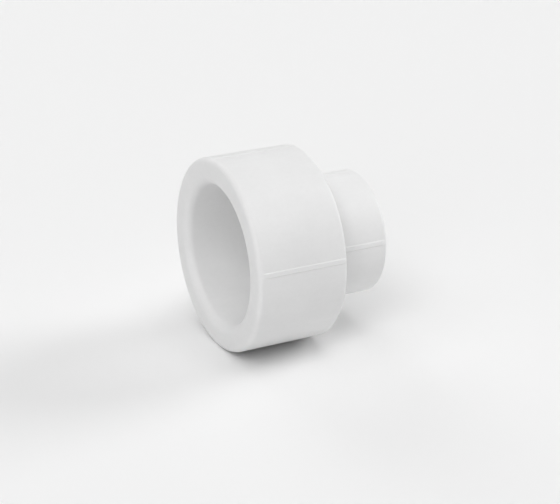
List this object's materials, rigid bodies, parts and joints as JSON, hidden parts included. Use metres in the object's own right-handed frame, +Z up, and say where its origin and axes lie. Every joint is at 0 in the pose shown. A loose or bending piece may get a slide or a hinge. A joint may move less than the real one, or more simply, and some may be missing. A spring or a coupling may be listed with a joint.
{
  "type": "reducing coupling",
  "caption": "Concentric reducing coupling for heat-fused plastic pipe: a wide barrel steps down to a narrow one, with a socket in each end, rounded rims and raised alignment ribs.",
  "frame": {"origin": "on the pipe axis, midway between the two end faces", "axes": "+X along the pipe axis towards the small end, -X out of the large mouth, +Z up as the coupling lies on its large barrel and one rib"},
  "size_m": [0.0356, 0.0434, 0.0434],
  "materials": {
    "white_plastic": "satin, as moulded, slightly translucent"
  },
  "bodies": {
    "root": {"reducer_body": "white_plastic"}
  },
  "joints": []
}
